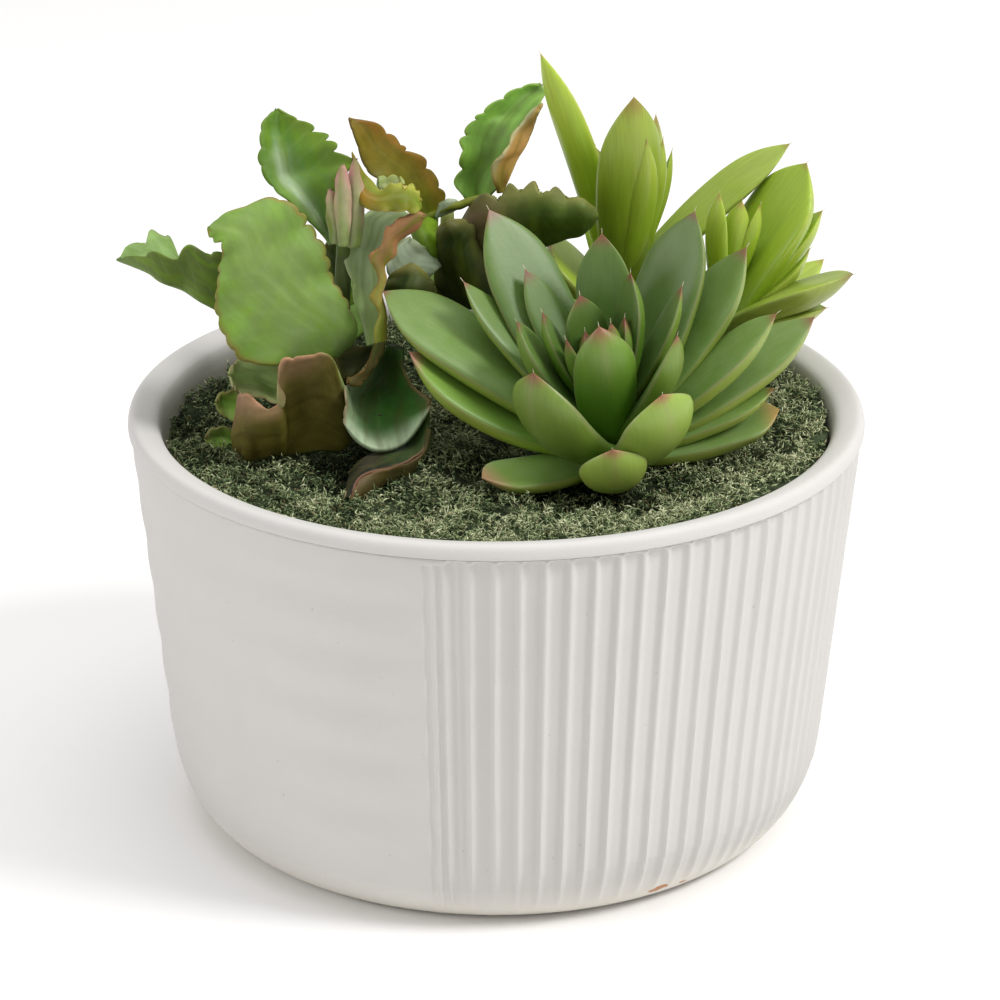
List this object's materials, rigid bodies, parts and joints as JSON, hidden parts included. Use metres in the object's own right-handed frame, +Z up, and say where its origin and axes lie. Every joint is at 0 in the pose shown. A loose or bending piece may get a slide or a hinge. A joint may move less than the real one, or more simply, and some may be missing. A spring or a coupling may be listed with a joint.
{
  "type": "succulent dish garden",
  "caption": "Half fluted white bowl planted with a fleshy rosette, pointed and toothed leafed succulents in soil topped with moss.",
  "frame": {"origin": "middle of the bowl's flat underside", "axes": "+Z up, -Y towards the front, where the bowl's plain side meets its fluted side, +X towards the fluted side"},
  "size_m": [0.1788, 0.178, 0.1825],
  "materials": {
    "white_earthenware": "matt white slip on cast earthenware, faintly yellowed where it meets the table",
    "potting_soil": "dark, damp potting mix of peat and bark",
    "moss": "dry curled preserved moss, grey green",
    "rosette_leaf": "waxy fleshy leaf with a thin bloom, red at the tip",
    "pointed_leaf": "waxy fleshy leaf, yellow green, brown at the tip",
    "green_toothed_leaf": "soft satin leaf, green with a pink toothed edge",
    "olive_toothed_leaf": "soft satin leaf, olive flushed orange and purple brown",
    "bronze_toothed_leaf": "soft satin leaf, bronze below, green above, with a pink edge"
  },
  "bodies": {
    "root": {"bowl": "white_earthenware", "potting_soil": "potting_soil", "moss": "moss", "rosette": "rosette_leaf", "left_pointed_head": "pointed_leaf", "right_pointed_head": "pointed_leaf", "left_toothed_stem": "green_toothed_leaf", "back_toothed_stem": "olive_toothed_leaf", "low_toothed_stem": "bronze_toothed_leaf"}
  },
  "joints": []
}
